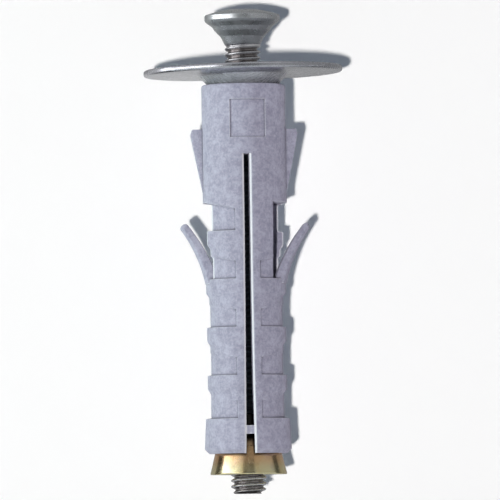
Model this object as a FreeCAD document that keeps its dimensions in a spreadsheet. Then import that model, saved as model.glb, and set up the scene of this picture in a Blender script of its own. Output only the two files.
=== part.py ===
import FreeCAD, Part
import Sketcher
import math
import os

# Nylon frame anchor with its screw, washer and cone nut.  Millimetres.
# +Z points out of the wall, Z = 0 is the open mouth of the sleeve, -Y is the front.

doc = FreeCAD.newDocument("WallAnchor")
sheet = doc.addObject("Spreadsheet::Sheet", "Dims")

DIMENSIONS = {
    # sleeve
    "collar_radius": 7.0,
    "collar_length": 19.75,
    "collar_edge": 0.6,
    "bore_radius": 3.35,
    "countersink_angle": 45.0,
    "mouth_clearance": 0.1,
    "slot_start": 11.75,
    "slot_width_start": 0.76,
    "slot_width_end": 1.04,
    "sleeve_length": 61.5,
    # anti-rotation fins on the collar
    "fin_reach": 8.95,
    "fin_top": 7.4,
    "fin_length": 10.6,
    "fin_thickness": 1.8,
    "fin_corner": 0.3,
    # plain sunken panel on the front of the collar
    "panel_top": 2.7,
    "panel_height": 6.3,
    "panel_angle": 49.0,
    "panel_depth": 0.25,
    # toothed expansion legs
    "first_drop": 4.65,
    "last_band": 5.9,
    "last_lift": 0.8,
    "tooth_radius_top": 7.0,
    "tooth_radius_second": 6.65,
    "tooth_radius_middle": 6.6,
    "tooth_radius_last": 7.0,
    "tooth_drop": 0.5,
    "tooth_land": 2.2,
    "tooth_taper": 1.1,
    "floor_depth": 0.6,
    "floor_radius_top": 6.2,
    "pocket_height": 3.9,
    "pocket_slant": 1.0,
    "strip_width": 2.1,
    "end_radius": 7.25,
    "end_chamfer": 0.75,
    "tie_rise": 3.2,
    "tie_height": 1.4,
    "tie_skin": 0.9,
    # bent-out barbs and the recesses they fold into
    "recess_flat": 4.3,
    "recess_overlap": 2.6,
    "barb_pivot_x": 4.95,
    "barb_pivot_drop": 0.5,
    "barb_knuckle": 0.8,
    "barb_clearance": 0.05,
    "barb_near": 2.3,
    "barb_far": 3.3,
    "barb_root_x": 6.95,
    "barb_tip_x": 11.05,
    "barb_tip_rise": 8.7,
    "barb_end_x": 10.05,
    "barb_end_rise": 9.35,
    "barb_throat_x": 5.3,
    "barb_throat_rise": 2.0,
    "barb_bend": 25.0,
    # cone nut
    "nut_stand": 3.5,
    "nut_base_radius": 6.43,
    "nut_height": 10.0,
    "nut_top_radius": 4.0,
    "nut_edge": 0.25,
    "thread_clearance": 0.05,
    "rib_clearance": 0.07,
    "rib_radius": 6.0,
    "rib_rise": 4.8,
    "socket_clearance": 0.05,
    "socket_offset": 0.85,
    "seat_room": 4.2,
    # washer
    "washer_radius": 16.6,
    "washer_underside": 1.5,
    "washer_thickness": 1.0,
    "washer_edge": 0.3,
    "dimple_radius": 5.9,
    "dimple_depth": 1.65,
    "washer_hole": 3.3,
    # screw
    "screw_radius": 3.0,
    "tip_stand": 3.2,
    "tip_chamfer": 0.6,
    "head_radius": 6.3,
    "head_top": 12.8,
    "rim_top": 11.7,
    "rim_bottom": 10.75,
    "undercut_radius": 5.0,
    "undercut_height": 9.75,
    "cone_foot_radius": 3.65,
    "cone_foot_height": 8.1,
    "neck_radius": 3.3,
    "neck_height": 7.4,
    "shank_height": 6.8,
    "recess_span": 3.1,
    "recess_slot": 1.5,
    "recess_depth": 3.4,
    "recess_taper": 5.0,
    "recess_core": 1.75,
}

for row, (alias, value) in enumerate(DIMENSIONS.items(), 1):
    sheet.set(f"A{row}", alias)
    sheet.set(f"B{row}", str(value))
    sheet.setAlias(f"B{row}", alias)
doc.recompute()


def cell(expression):
    """Rewrites every dimension name in an expression as a reference to the sheet."""
    words = []
    word = ""
    for letter in expression + " ":
        if letter.isalnum() or letter == "_":
            word += letter
            continue
        words.append("Dims." + word if word in DIMENSIONS else word)
        words.append(letter)
        word = ""
    return "".join(words).strip()


def amount(expression):
    """Present value of an expression, in millimetres or degrees."""
    result = sheet.evalExpression(cell(expression))
    return float(getattr(result, "Value", result))


def new_body(name):
    body = doc.addObject("PartDesign::Body", name)
    body.Label = name
    return body


def new_sketch(body, name, role, shift=None):
    """Sketch on one of the body's own origin planes, moved by expressions in x, y or z."""
    sketch = body.newObject("Sketcher::SketchObject", name)
    plane = next(item for item in body.Origin.OriginFeatures if item.Role == role)
    sketch.AttachmentSupport = [(plane, "")]
    sketch.MapMode = "FlatFace"
    for axis, expression in (shift or {}).items():
        sketch.setExpression(f"AttachmentOffset.Base.{axis}", cell(expression))
    doc.recompute()
    return sketch


def pin(sketch, edge, end, across, up):
    """Holds one point of the sketch at two driven distances from its origin."""
    for kind, expression in (("DistanceX", across), ("DistanceY", up)):
        constraint = Sketcher.Constraint(kind, -1, 1, edge, end, amount(expression))
        index = sketch.addConstraint(constraint)
        sketch.setExpression(f"Constraints[{index}]", cell(expression))


def outline(sketch, corners, arcs=None):
    """Closed outline through driven corners; arcs maps an edge number to (radius, side)."""
    arcs = arcs or {}
    points = [FreeCAD.Vector(amount(x), amount(y), 0) for x, y in corners]
    first = sketch.GeometryCount
    starts = []
    ends = []
    for number, start in enumerate(points):
        finish = points[(number + 1) % len(points)]
        if number not in arcs:
            edge = sketch.addGeometry(Part.LineSegment(start, finish))
            starts.append((edge, 1))
            ends.append((edge, 2))
            continue
        radius, side = arcs[number]
        chord = finish - start
        half = chord.Length / 2
        rise = amount(radius) - math.sqrt(amount(radius) ** 2 - half ** 2)
        across = FreeCAD.Vector(-chord.y, chord.x, 0).normalize()
        middle = (start + finish) * 0.5 + across * (rise * side)
        edge = sketch.addGeometry(Part.ArcOfCircle(start, middle, finish))
        forward = sketch.getPoint(edge, 1).distanceToPoint(start) < half
        starts.append((edge, 1 if forward else 2))
        ends.append((edge, 2 if forward else 1))
    count = len(points)
    for number in range(count):
        following = starts[(number + 1) % count]
        sketch.addConstraint(Sketcher.Constraint("Coincident", *ends[number], *following))
    for number, (across, up) in enumerate(corners):
        pin(sketch, *starts[number], across, up)
    for number, (radius, side) in arcs.items():
        edge = first + number
        index = sketch.addConstraint(Sketcher.Constraint("Radius", edge, amount(radius)))
        sketch.setExpression(f"Constraints[{index}]", cell(radius))


def box_outline(sketch, left, right, low, high):
    outline(sketch, [(left, low), (right, low), (right, high), (left, high)])


def circle(sketch, across, up, radius):
    centre = FreeCAD.Vector(amount(across), amount(up), 0)
    normal = FreeCAD.Vector(0, 0, 1)
    edge = sketch.addGeometry(Part.Circle(centre, normal, amount(radius)))
    pin(sketch, edge, 3, across, up)
    index = sketch.addConstraint(Sketcher.Constraint("Radius", edge, amount(radius)))
    sketch.setExpression(f"Constraints[{index}]", cell(radius))


def turned(body, kind, name, sketch, angle=None):
    """Revolution or groove about the sketch's upright axis; a part turn is centred."""
    feature = body.newObject(f"PartDesign::{kind}", name)
    feature.Profile = sketch
    feature.ReferenceAxis = (sketch, ["V_Axis"])
    if angle:
        feature.setExpression("Angle", cell(angle))
        feature.Midplane = True
    doc.recompute()
    return feature


def raised(body, kind, name, sketch, length, back=None, symmetric=False):
    """Pad or pocket; back gives a second driven length on the other side."""
    feature = body.newObject(f"PartDesign::{kind}", name)
    feature.Profile = sketch
    feature.setExpression("Length", cell(length))
    if symmetric:
        feature.SideType = "Symmetric"
    if back:
        feature.SideType = "Two sides"
        feature.setExpression("Length2", cell(back))
    doc.recompute()
    return feature


def patterned(body, feature, name, count):
    """Repeats a feature evenly about the body's upright axis."""
    pattern = body.newObject("PartDesign::PolarPattern", name)
    pattern.Originals = [feature]
    axis = next(item for item in body.Origin.OriginFeatures if item.Role == "Z_Axis")
    pattern.Axis = (axis, [""])
    body.Tip = pattern
    pattern.Occurrences = count
    doc.recompute()
    return pattern


def dressed(body, kind, name, base, size, wanted):
    """Fillet or chamfer on the edges of the base feature for which wanted() holds."""
    names = [f"Edge{n}" for n, edge in enumerate(base.Shape.Edges, 1) if wanted(edge)]
    if not names:
        raise ValueError(f"{name}: no edge found")
    feature = body.newObject(f"PartDesign::{kind}", name)
    feature.Base = (base, names)
    feature.setExpression("Radius" if kind == "Fillet" else "Size", cell(size))
    doc.recompute()
    return feature


def ring_at(radius, height):
    """Picks the circular edges about the upright axis at one radius and height."""
    def wanted(edge):
        curve = edge.Curve
        if curve.TypeId != "Part::GeomCircle":
            return False
        return (abs(curve.Radius - amount(radius)) < 1e-3
                and abs(curve.Center.z - amount(height)) < 1e-3
                and math.hypot(curve.Center.x, curve.Center.y) < 1e-3)
    return wanted


def slot_edge(depth):
    """Half the slot width at a depth; the slot opens evenly towards the sleeve's end."""
    return (f"(slot_width_start + (slot_width_end - slot_width_start)"
            f" * ({depth} - slot_start) / (sleeve_length - slot_start)) / 2")


def mirrored(expression):
    return f"-({expression})"


# places that follow from the sizes above
SHOULDERS = 5
FIRST_SHOULDER = "(collar_length + first_drop)"
LAST_SHOULDER = "(sleeve_length - last_band)"
SHOULDER_PITCH = f"(({LAST_SHOULDER} + last_lift - {FIRST_SHOULDER}) / {SHOULDERS - 1})"
NUT_BASE = "(sleeve_length + nut_stand)"
NUT_TOP = f"({NUT_BASE} - nut_height)"
NUT_SLOPE = "((nut_base_radius - nut_top_radius) / nut_height)"
SEAT_TOP = f"({NUT_TOP} - seat_room)"
SCREW_TIP = f"({NUT_BASE} + tip_stand)"
MOUTH_RADIUS = "(dimple_radius + mouth_clearance)"
WASHER_TOP = "(washer_underside + washer_thickness)"


def shoulder(number):
    """Depth of a tooth's upper shoulder: evenly spaced, but for the last one a little higher."""
    if number == SHOULDERS - 1:
        return LAST_SHOULDER
    return f"({FIRST_SHOULDER} + {number} * {SHOULDER_PITCH})"


BARB_FOOT = shoulder(1)

# ---------------------------------------------------------------- collar of the sleeve
collar = new_body("sleeve_collar")
section = new_sketch(collar, "CollarSection", "XZ_Plane")
outline(section, [
    ("bore_radius", "-collar_length"),
    ("collar_radius", "-collar_length"),
    ("collar_radius", "0"),
    (MOUTH_RADIUS, "0"),
    ("bore_radius", f"-({MOUTH_RADIUS} - bore_radius) / tan(countersink_angle)"),
])
collar_turn = turned(collar, "Revolution", "CollarTurn", section)
dressed(collar, "Chamfer", "CollarEdge", collar_turn, "collar_edge",
        ring_at("collar_radius", "0"))

fin = new_sketch(collar, "FinOutline", "XZ_Plane")
fin_foot = "-(fin_top + fin_length)"
outline(fin, [
    ("collar_radius - fin_corner", fin_foot),
    ("collar_radius", fin_foot),
    ("fin_reach", "-(fin_top + 3 * fin_corner)"),
    ("fin_reach - fin_corner", "-fin_top"),
    ("collar_radius - fin_corner", "-fin_top"),
])
fin_pad = raised(collar, "Pad", "FinPad", fin, "fin_thickness", symmetric=True)
patterned(collar, fin_pad, "Fins", 2)

collar_slot = new_sketch(collar, "CollarSlot", "XZ_Plane")
outline(collar_slot, [
    (mirrored(slot_edge("collar_length")), "-collar_length"),
    (slot_edge("collar_length"), "-collar_length"),
    (slot_edge("slot_start"), "-slot_start"),
    (mirrored(slot_edge("slot_start")), "-slot_start"),
])
raised(collar, "Pocket", "CollarSlotCut", collar_slot, "4 * collar_radius", symmetric=True)

panel = new_sketch(collar, "PanelSection", "YZ_Plane")
box_outline(panel, "-2 * collar_radius", "-(collar_radius - panel_depth)",
            "-(panel_top + panel_height)", "-panel_top")
turned(collar, "Groove", "FrontPanel", panel, "panel_angle")

# ------------------------------------------------------------------------ toothed legs
tooth_radii = [
    "tooth_radius_top",
    "tooth_radius_second",
    "tooth_radius_middle",
    "tooth_radius_middle",
    "tooth_radius_last",
]


def toothed_profile():
    """Inner corners of the ring outside the teeth: each tooth has a land and a taper."""
    corners = [("tooth_radius_top", "-collar_length")]
    above = "tooth_radius_top"
    for number in range(SHOULDERS):
        depth = shoulder(number)
        if number:
            corners.append((f"{above} - tooth_drop", f"-{depth}"))
        radius = tooth_radii[number]
        corners.append((radius, f"-{depth}"))
        if number < SHOULDERS - 1:
            corners.append((radius, f"-({depth} + tooth_land)"))
            corners.append((f"{radius} - tooth_drop", f"-({depth} + tooth_land + tooth_taper)"))
        above = radius
    return corners


def comb(reach):
    """Outline of the tooth bands seen from the front, open at every pocket."""
    corners = [("0", "-collar_length"), (mirrored(reach), "-collar_length")]
    for number in range(SHOULDERS):
        depth = shoulder(number)
        outer = f"-({depth} - pocket_height)"
        inner = f"-({depth} - pocket_height + pocket_slant)"
        corners.append((mirrored(reach), outer))
        corners.append(("-strip_width", inner))
        corners.append(("-strip_width", f"-{depth}"))
        corners.append((mirrored(reach), f"-{depth}"))
    corners.append((mirrored(reach), "-sleeve_length"))
    corners.append(("0", "-sleeve_length"))
    return corners


def add_leg(name):
    """Left leg: full teeth at the front, at the back a flat recess for the barb."""
    leg = new_body(name)
    far = "2 * collar_radius"
    floor = [("0", "-sleeve_length"), ("end_radius - floor_depth", "-sleeve_length")]
    floor.append(("tooth_radius_last - floor_depth", f"-{shoulder(SHOULDERS - 1)}"))
    for number in (3, 2, 1):
        floor.append((f"{tooth_radii[number]} - floor_depth", f"-{shoulder(number)}"))
    floor.append(("floor_radius_top", "-collar_length"))
    floor.append(("0", "-collar_length"))
    core = new_sketch(leg, name + "_Core", "XZ_Plane")
    outline(core, floor)
    turned(leg, "Revolution", name + "_CoreTurn", core)

    bands = new_sketch(leg, name + "_Bands", "XZ_Plane")
    outline(bands, comb("end_radius"))
    raised(leg, "Pad", name + "_BandPad", bands, far, symmetric=True)

    trim = new_sketch(leg, name + "_TeethTrim", "XZ_Plane")
    outline(trim, toothed_profile() + [
        ("end_radius", "-(sleeve_length - end_chamfer)"),
        ("end_radius - end_chamfer", "-sleeve_length"),
        (far, "-sleeve_length"),
        (far, "-collar_length"),
    ])
    turned(leg, "Groove", name + "_TeethCut", trim)

    strip = new_sketch(leg, name + "_Strip", "XZ_Plane")
    box_outline(strip, "-strip_width", "0", "-sleeve_length", "-collar_length")
    raised(leg, "Pad", name + "_StripPad", strip, far, symmetric=True)

    # the barb side has no pocket above the first shoulder
    plain = new_sketch(leg, name + "_Plain", "XZ_Plane")
    box_outline(plain, "-collar_radius", "0",
                f"-({shoulder(1)} - pocket_height - pocket_slant)", "-collar_length")
    raised(leg, "Pad", name + "_PlainPad", plain, "collar_radius").Reversed = True

    tie = new_sketch(leg, name + "_Tie", "XY_Plane", {"z": "-(sleeve_length - tie_rise)"})
    box_outline(tie, "-slot_width_end", "slot_width_end", "collar_radius - tie_skin", "collar_radius")
    box_outline(tie, "-slot_width_end", "slot_width_end", "-collar_radius", "tie_skin - collar_radius")
    skin = new_sketch(leg, name + "_Skin", "XZ_Plane")
    outline(skin, [
        ("tooth_radius_top", "-collar_length"),
        ("tooth_radius_top", f"-{shoulder(0)}"),
        ("tooth_radius_second", f"-{shoulder(1)}"),
        ("tooth_radius_middle", f"-{shoulder(2)}"),
        ("tooth_radius_middle", f"-{shoulder(3)}"),
        ("tooth_radius_last", f"-{shoulder(4)}"),
        ("end_radius", "-(sleeve_length - end_chamfer)"),
        ("end_radius - end_chamfer", "-sleeve_length"),
        (far, "-sleeve_length"),
        (far, "-collar_length"),
    ])

    slot = new_sketch(leg, name + "_Slot", "XZ_Plane")
    outline(slot, [
        (mirrored(slot_edge("sleeve_length")), "-sleeve_length"),
        (far, "-sleeve_length"),
        (far, "-collar_length"),
        (mirrored(slot_edge("collar_length")), "-collar_length"),
    ])
    raised(leg, "Pocket", name + "_SlotCut", slot, "2 * " + far, symmetric=True)
    raised(leg, "Pad", name + "_TiePad", tie, "tie_height")
    half = new_sketch(leg, name + "_Half", "XZ_Plane")
    box_outline(half, "0", far, "-sleeve_length", "-collar_length")
    raised(leg, "Pocket", name + "_HalfCut", half, "2 * " + far, symmetric=True)
    turned(leg, "Groove", name + "_SkinCut", skin)

    bore = new_sketch(leg, name + "_Bore", "XZ_Plane")
    box_outline(bore, "0", "bore_radius", "-sleeve_length", "-collar_length")
    turned(leg, "Groove", name + "_BoreCut", bore)

    # the cone seat is turned about an axis across the slot, so its edges stay clear of
    # the nut while the legs swing apart
    mouth = f"(nut_base_radius - nut_stand * {NUT_SLOPE} + socket_clearance + socket_offset)"
    seat = new_sketch(leg, name + "_Seat", "XZ_Plane", {"x": "socket_offset"})
    outline(seat, [
        ("0", "-sleeve_length"),
        (mouth, "-sleeve_length"),
        (f"{mouth} - (sleeve_length - {SEAT_TOP}) * {NUT_SLOPE}", f"-{SEAT_TOP}"),
        ("0", f"-{SEAT_TOP}"),
    ])
    turned(leg, "Groove", name + "_SeatCut", seat)

    recess = new_sketch(leg, name + "_Recess", "XZ_Plane")
    box_outline(recess, mirrored(far), "-recess_flat", f"-{shoulder(1)}", "-collar_length")
    raised(leg, "Pocket", name + "_RecessCut", recess, far, "recess_overlap")
    knuckle = new_sketch(leg, name + "_Knuckle", "XZ_Plane")
    circle(knuckle, "-barb_pivot_x", f"-({BARB_FOOT} + barb_pivot_drop)",
           "barb_knuckle + barb_clearance")
    raised(leg, "Pocket", name + "_KnuckleCut", knuckle,
           "barb_far + barb_clearance", "barb_near + barb_clearance")
    return leg


# --------------------------------------------------------------------- fold-away barbs
def add_barb(name):
    """Left barb: a curved tongue on a round root, wider towards the back."""
    barb = new_body(name)
    foot = f"-{BARB_FOOT}"
    tip = f"(barb_tip_rise - {BARB_FOOT})"
    blade = new_sketch(barb, name + "_Blade", "XZ_Plane")
    outline(blade, [
        ("-barb_pivot_x", foot),
        ("-barb_throat_x", f"barb_throat_rise - {BARB_FOOT}"),
        ("-barb_end_x", f"barb_end_rise - {BARB_FOOT}"),
        ("-barb_tip_x", tip),
        ("-barb_root_x", foot),
    ], {1: ("barb_bend", -1), 3: ("barb_bend", 1)})
    raised(barb, "Pad", name + "_BladePad", blade, "barb_near", "barb_far")
    trim = new_sketch(barb, name + "_Back", "XZ_Plane")
    outline(trim, [
        ("barb_root_x", foot),
        ("barb_tip_x", tip),
        ("2 * barb_tip_x", tip),
        ("2 * barb_tip_x", foot),
    ], {0: ("barb_bend", 1)})
    turned(barb, "Groove", name + "_BackCut", trim)
    root = new_sketch(barb, name + "_Root", "XZ_Plane")
    circle(root, "-barb_pivot_x", f"-({BARB_FOOT} + barb_pivot_drop)", "barb_knuckle")
    raised(barb, "Pad", name + "_RootPad", root, "barb_near", "barb_far")
    return barb


leg_left = add_leg("leg_left")
leg_right = add_leg("leg_right")
barb_left = add_barb("barb_left")
barb_right = add_barb("barb_right")
HALF_TURN = "placement(vector(0; 0; 0); rotation(vector(0; 0; 1); 180))"
for body in (leg_right, barb_right):
    body.setExpression("Placement", HALF_TURN)

# --------------------------------------------------------------------------- cone nut
nut = new_body("cone_nut")
nut_bore = "(screw_radius + thread_clearance)"
nut_section = new_sketch(nut, "NutSection", "XZ_Plane")
outline(nut_section, [
    (nut_bore, f"-{NUT_BASE}"),
    ("nut_base_radius", f"-{NUT_BASE}"),
    ("nut_top_radius", f"-{NUT_TOP}"),
    (nut_bore, f"-{NUT_TOP}"),
])
nut_turn = turned(nut, "Revolution", "NutTurn", nut_section)
dressed(nut, "Chamfer", "NutEdge", nut_turn, "nut_edge",
        ring_at("nut_base_radius", f"-{NUT_BASE}"))
rib = new_sketch(nut, "RibOutline", "YZ_Plane")
rib_foot = f"(nut_base_radius - rib_radius) / {NUT_SLOPE} - {NUT_BASE}"
rib_top = f"rib_rise - {NUT_BASE}"
outline(rib, [
    ("nut_top_radius", rib_foot),
    ("rib_radius", rib_foot),
    ("rib_radius", rib_top),
    ("nut_top_radius", rib_top),
])
rib_width = "slot_width_end - 2 * rib_clearance"
rib_pad = raised(nut, "Pad", "RibPad", rib, rib_width, symmetric=True)
patterned(nut, rib_pad, "Ribs", 2)

# ----------------------------------------------------------------------------- washer
washer = new_body("washer")
washer_section = new_sketch(washer, "WasherSection", "XZ_Plane")
wall = "(washer_thickness / sin(countersink_angle))"
outline(washer_section, [
    ("washer_hole", "-dimple_depth"),
    ("dimple_radius - dimple_depth", "-dimple_depth"),
    ("dimple_radius + washer_underside", "washer_underside"),
    ("washer_radius", "washer_underside"),
    ("washer_radius", WASHER_TOP),
    (f"dimple_radius - {wall} + {WASHER_TOP}", WASHER_TOP),
    ("washer_hole", f"washer_hole - dimple_radius + {wall}"),
])
washer_turn = turned(washer, "Revolution", "WasherTurn", washer_section)


def washer_rim(edge):
    low = ring_at("washer_radius", "washer_underside")
    high = ring_at("washer_radius", WASHER_TOP)
    return low(edge) or high(edge)


dressed(washer, "Chamfer", "WasherEdge", washer_turn, "washer_edge", washer_rim)

# ------------------------------------------------------------------------------ screw
screw = new_body("screw")
screw_section = new_sketch(screw, "ScrewSection", "XZ_Plane")
outline(screw_section, [
    ("0", f"-{SCREW_TIP}"),
    ("screw_radius - tip_chamfer", f"-{SCREW_TIP}"),
    ("screw_radius", f"-({SCREW_TIP} - tip_chamfer)"),
    ("screw_radius", "shank_height"),
    ("neck_radius", "neck_height"),
    ("cone_foot_radius", "cone_foot_height"),
    ("undercut_radius", "undercut_height"),
    ("head_radius", "rim_bottom"),
    ("head_radius", "rim_top"),
    ("0", "head_top"),
], {8: ("(head_radius ^ 2 + (head_top - rim_top) ^ 2) / (2 * (head_top - rim_top))", -1)})
turned(screw, "Revolution", "ScrewTurn", screw_section)

cross = new_sketch(screw, "CrossRecess", "XY_Plane", {"z": "head_top"})
half_slot = "recess_slot / 2"
quarter = [(half_slot, half_slot), (half_slot, "recess_span"), ("-" + half_slot, "recess_span")]
corners = []
for _ in range(4):
    corners += quarter
    quarter = [(mirrored(y), x) for x, y in quarter]
outline(cross, corners)
cross_cut = raised(screw, "Pocket", "CrossCut", cross, "recess_depth")
cross_cut.setExpression("TaperAngle", cell("-recess_taper"))
doc.recompute()
core_section = new_sketch(screw, "RecessCore", "XZ_Plane")
outline(core_section, [
    ("0", "head_top - recess_depth"),
    ("recess_core", "head_top"),
    ("0", "head_top"),
])
turned(screw, "Groove", "RecessCoreCut", core_section)

# ---------------------------------------------------------------- checks and the files
doc.recompute()
for item in doc.Objects:
    if "Invalid" in item.State or "Error" in item.State:
        raise ValueError(f"{item.Name} did not build: {item.State}")

NODES = [screw, washer, nut, collar, leg_left, leg_right, barb_left, barb_right]
os.makedirs("parts", exist_ok=True)
for node in NODES:
    shape = node.Shape
    if shape.isNull() or not shape.isValid() or len(shape.Solids) != 1:
        raise ValueError(f"{node.Label}: solids {len(shape.Solids)}, valid {shape.isValid()}")
    shape.exportStep(f"parts/{node.Label}.step")
    size = shape.BoundBox
    print(node.Label, round(shape.Volume, 2), [round(v, 2) for v in (
        size.XMin, size.XMax, size.YMin, size.YMax, size.ZMin, size.ZMax)])
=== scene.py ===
from math import asin, atan2, cos, pi, radians, sin, sqrt, tan

import bmesh
import bpy
from mathutils import Matrix, Vector


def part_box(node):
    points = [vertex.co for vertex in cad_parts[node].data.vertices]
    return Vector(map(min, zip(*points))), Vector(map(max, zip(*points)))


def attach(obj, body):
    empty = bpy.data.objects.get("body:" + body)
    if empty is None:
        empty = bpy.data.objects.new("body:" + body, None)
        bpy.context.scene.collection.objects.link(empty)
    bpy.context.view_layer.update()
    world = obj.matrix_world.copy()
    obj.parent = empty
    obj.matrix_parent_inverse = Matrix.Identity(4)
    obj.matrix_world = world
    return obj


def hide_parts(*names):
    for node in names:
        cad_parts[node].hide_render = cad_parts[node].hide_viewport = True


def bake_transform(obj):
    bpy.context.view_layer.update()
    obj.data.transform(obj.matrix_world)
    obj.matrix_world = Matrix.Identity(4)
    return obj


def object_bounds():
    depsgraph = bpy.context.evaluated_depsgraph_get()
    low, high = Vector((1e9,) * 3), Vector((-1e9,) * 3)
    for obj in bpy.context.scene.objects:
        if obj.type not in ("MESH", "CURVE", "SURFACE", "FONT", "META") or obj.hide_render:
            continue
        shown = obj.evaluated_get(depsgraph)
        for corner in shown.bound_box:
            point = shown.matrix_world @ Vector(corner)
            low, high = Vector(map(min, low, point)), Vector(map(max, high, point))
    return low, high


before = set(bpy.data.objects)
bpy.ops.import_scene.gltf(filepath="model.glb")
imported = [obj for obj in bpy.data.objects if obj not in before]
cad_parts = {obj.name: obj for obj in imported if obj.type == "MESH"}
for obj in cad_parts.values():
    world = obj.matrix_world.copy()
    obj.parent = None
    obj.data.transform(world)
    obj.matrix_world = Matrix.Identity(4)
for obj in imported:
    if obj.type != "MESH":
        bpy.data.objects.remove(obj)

# A frame anchor dressed for the photograph: grey nylon sleeve with two legs and two barbs,
# zinc screw and washer, yellow cone nut. Z is the anchor's axis, Z = 0 the sleeve's open
# mouth, the tip points down and the front is -Y.
CAD_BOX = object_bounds()
MM = 0.001
LOW, HIGH = 0, 1
X, Y, Z = 0, 1, 2


def box_mm(node):
    """Lowest and highest corner of a CAD node, in millimetres."""
    return [[value / MM for value in corner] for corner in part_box(node)]


# ----------------------- sizes (millimetres)
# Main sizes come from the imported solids; the rest are details of the same pieces.
collar_box = box_mm("sleeve_collar")
leg_box = box_mm("leg_left")
nut_box = box_mm("cone_nut")
washer_box = box_mm("washer")
screw_box = box_mm("screw")
barb_box = box_mm("barb_left")

COLLAR_R = collar_box[HIGH][Y]
COLLAR_END = -collar_box[LOW][Z]
SLEEVE_END = -leg_box[LOW][Z]
BORE_R = 3.35
MOUTH_R = 6.0
COLLAR_EDGE = 0.65
SLOT_START = 11.75
SLOT_HALF = 0.47
SLOT_FLARE = 0.26
SLOT_FLARE_POWER = 3
SLOT_EDGE = 0.38

PANEL_TOP = 2.7
PANEL_HEIGHT = 6.3
PANEL_HALF_WIDTH = 2.95
PANEL_DEPTH = 0.22
PANEL_ASIDE = 0.28

FIN_REACH = collar_box[HIGH][X]
FIN_TOP = 7.4
FIN_LENGTH = 10.6
FIN_THICKNESS = 1.8
FIN_ROOT = 0.6
FIN_CORNER = 0.3
FIN_CORNER_DROP = 0.9
FIN_SINK = 0.02
FIN_BEVEL = 0.12

SHOULDERS = 5
LAST_BAND = 5.9
LAST_LIFT = 0.8
FIRST_DROP = 4.65
TOOTH_RADII = [COLLAR_R, COLLAR_R - 0.35, COLLAR_R - 0.4, COLLAR_R - 0.4, COLLAR_R]
END_RADIUS = -leg_box[LOW][X]
END_CHAMFER = 0.75
TOOTH_LAND = 2.2
TOOTH_TAPER = 1.1
TOOTH_DROP = 0.5
TOOTH_FULL = 3.2
TAPER_FULL = 5.6
FLOOR_DEPTH = 0.6
FIRST_FLOOR = 6.2
POCKET_HEIGHT = 3.9
POCKET_SLANT = 1.0
POCKET_TOP_SLOPE = 0.2
POCKET_SIDE_SLOPE = (-0.1, 0.12)
POCKET_LEDGE_SLOPE = (-0.01, 0.11)
STRIP_HALF = 2.1
RECESS_FLAT = 4.3
RECESS_NEAR = 2.6
TIE_RISE = 3.2
TIE_HEIGHT = 1.4
TIE_SKIN = 0.9
TIE_ROOT = 0.4
TIE_TRIM = 0.1
TIE_SINK = 0.05
TIE_BEVEL = 0.05

NUT_BASE_R = nut_box[HIGH][X]
NUT_BASE = -nut_box[LOW][Z]
NUT_HEIGHT = nut_box[HIGH][Z] - nut_box[LOW][Z]
NUT_TOP_R = 4.0
NUT_SLOPE = 0.243
RIB_HALF = 0.45
RIB_R = 6.0
RIB_RISE = 4.8
SEAT_OFFSET = 0.85
SEAT_CLEARANCE = 0.05
DIMPLE_R = 5.9
SCREW_R = 3.0
SEAT_TOP = NUT_BASE - NUT_HEIGHT - 4.2

LAST_SHOULDER = SLEEVE_END - LAST_BAND
SHOULDER_PITCH = (LAST_SHOULDER + LAST_LIFT - COLLAR_END - FIRST_DROP) / (SHOULDERS - 1)


def shoulder(number):
    """Depth of a shoulder; the last one sits a little above the even spacing."""
    if number == SHOULDERS - 1:
        return LAST_SHOULDER
    return COLLAR_END + FIRST_DROP + number * SHOULDER_PITCH


# ------------------------------ mesh helpers
SAME_POINT = 1e-7
AXIS_RADIUS = 1e-4


def ease(start, end, value):
    """0 before start, 1 after end, smooth between them."""
    t = min(max((value - start) / (end - start), 0.0), 1.0)
    return t * t * (3 - 2 * t)


def along(table, value):
    """Straight-line reading of a list of (place, amount) pairs."""
    for (a, low), (b, high) in zip(table, table[1:]):
        if value <= b:
            return low + (high - low) * max(value - a, 0.0) / (b - a)
    return table[-1][1]


def linked(name, data):
    """Object in the scene for a mesh, a lamp or a camera."""
    obj = bpy.data.objects.new(name, data)
    bpy.context.scene.collection.objects.link(obj)
    return obj


def smooth(mesh, sharp):
    """Smooths a mesh, but for edges where faces meet at more than the given degrees."""
    mesh.polygons.foreach_set("use_smooth", [True] * len(mesh.polygons))
    mesh.set_sharp_from_angle(angle=radians(sharp))


def new_object(name, mesh, sharp):
    smooth(mesh, sharp)
    return linked(name, mesh)


def loops_object(name, loops, cap_first=False, cap_last=False, ring=False, sharp=35):
    """Skin over closed loops of points in millimetres; ring joins the last loop to the first."""
    count = len(loops[0])
    points = [(x * MM, y * MM, z * MM) for loop in loops for x, y, z in loop]
    faces = []
    rows = len(loops)
    for row in range(rows if ring else rows - 1):
        here = row * count
        there = ((row + 1) % rows) * count
        for i in range(count):
            j = (i + 1) % count
            faces.append((here + i, here + j, there + j, there + i))
    if cap_first:
        faces.append(tuple(reversed(range(count))))
    if cap_last:
        faces.append(tuple((rows - 1) * count + i for i in range(count)))
    mesh = bpy.data.meshes.new(name)
    mesh.from_pydata(points, [], faces)
    mesh.validate()
    tidy_normals(mesh)
    return new_object(name, mesh, sharp)


def tidy_normals(mesh):
    """Makes every face look outwards and drops faces with no area."""
    work = bmesh.new()
    work.from_mesh(mesh)
    bmesh.ops.remove_doubles(work, verts=work.verts, dist=SAME_POINT)
    bmesh.ops.recalc_face_normals(work, faces=work.faces)
    work.to_mesh(mesh)
    work.free()


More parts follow.
